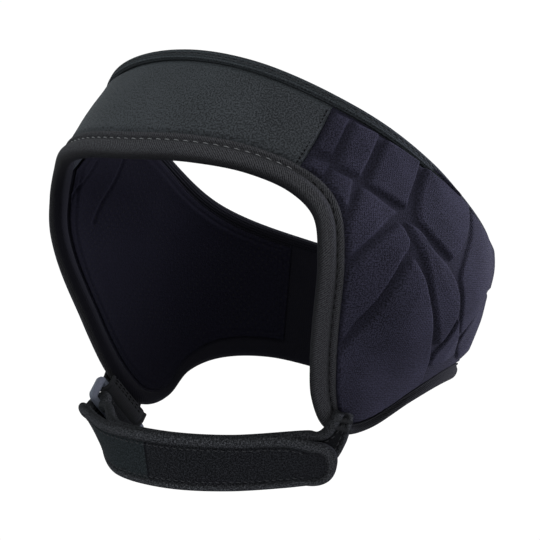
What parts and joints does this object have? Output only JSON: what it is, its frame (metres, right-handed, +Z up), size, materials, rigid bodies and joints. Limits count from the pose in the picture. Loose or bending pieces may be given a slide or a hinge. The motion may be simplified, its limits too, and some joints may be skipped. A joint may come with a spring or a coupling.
{
  "type": "padded ear guard",
  "caption": "Soft sport headgear with moulded ear pads, forehead panel, back band, taped edges and an under-chin strap folded back round a ring; open crown and face",
  "frame": {"origin": "the middle of the head hollow, 11 mm below the lower edge of the brow tape, where the wearer's head sits", "axes": "+Z is up, -Y is the way the wearer faces and +X is the wearer's left; millimetres in the source"},
  "size_m": [0.1904, 0.2004, 0.1814],
  "materials": {
    "brow_cloth": "smooth fine-grained matte",
    "pad_cloth": "moulded jersey with a soft sheen",
    "lining_cloth": "perforated matte",
    "binding_tape": "knitted tape, matte",
    "strap_cloth": "napped matte",
    "webbing": "woven webbing",
    "ring_plastic": "moulded grey plastic"
  },
  "bodies": {
    "root": {"forehead_panel": "brow_cloth", "back_band": "pad_cloth", "ear_pad_left": "pad_cloth", "ear_pad_right": "pad_cloth", "ear_lining_left": "lining_cloth", "ear_lining_right": "lining_cloth", "top_binding": "binding_tape", "lower_binding": "binding_tape", "chin_strap": "strap_cloth", "ring_tab": "webbing", "strap_ring": "ring_plastic"}
  },
  "joints": []
}
